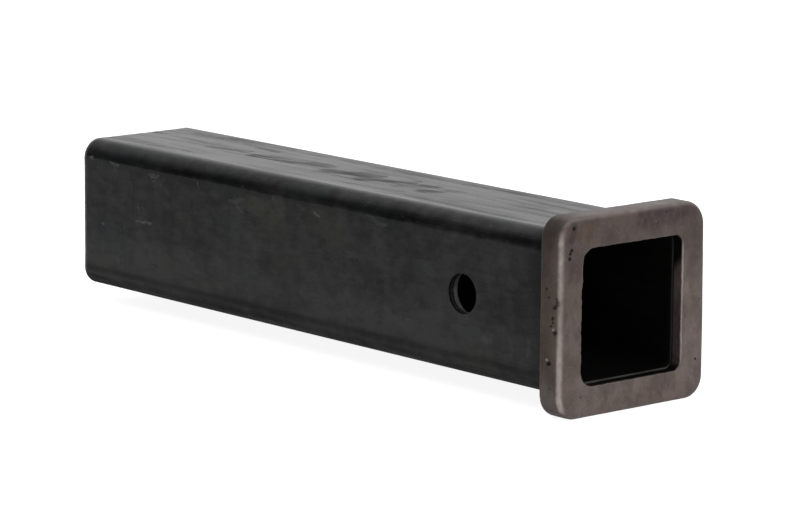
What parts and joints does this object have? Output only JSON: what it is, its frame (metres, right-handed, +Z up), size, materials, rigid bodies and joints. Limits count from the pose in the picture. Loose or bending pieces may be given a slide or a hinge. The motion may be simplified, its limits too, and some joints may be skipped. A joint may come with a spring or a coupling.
{
  "type": "hitch receiver tube",
  "caption": "Square steel receiver tube with a forged collar around its mouth and a hitch pin hole drilled across it near that end.",
  "frame": {"origin": "centre of the receiver's mouth, in the collar's front face", "axes": "+X out of the mouth, the way a hitch bar is drawn out; +Y along the pin hole; +Z up"},
  "size_m": [0.3048, 0.078, 0.078],
  "materials": {
    "tube_steel": "bare hot-rolled steel, dark grey mill scale with a dull sheen",
    "collar_steel": "bare forged steel, grey-brown oxide scale with small pits, brighter on its rounded edges"
  },
  "bodies": {
    "root": {"receiver_tube": "tube_steel", "collar": "collar_steel"}
  },
  "joints": []
}
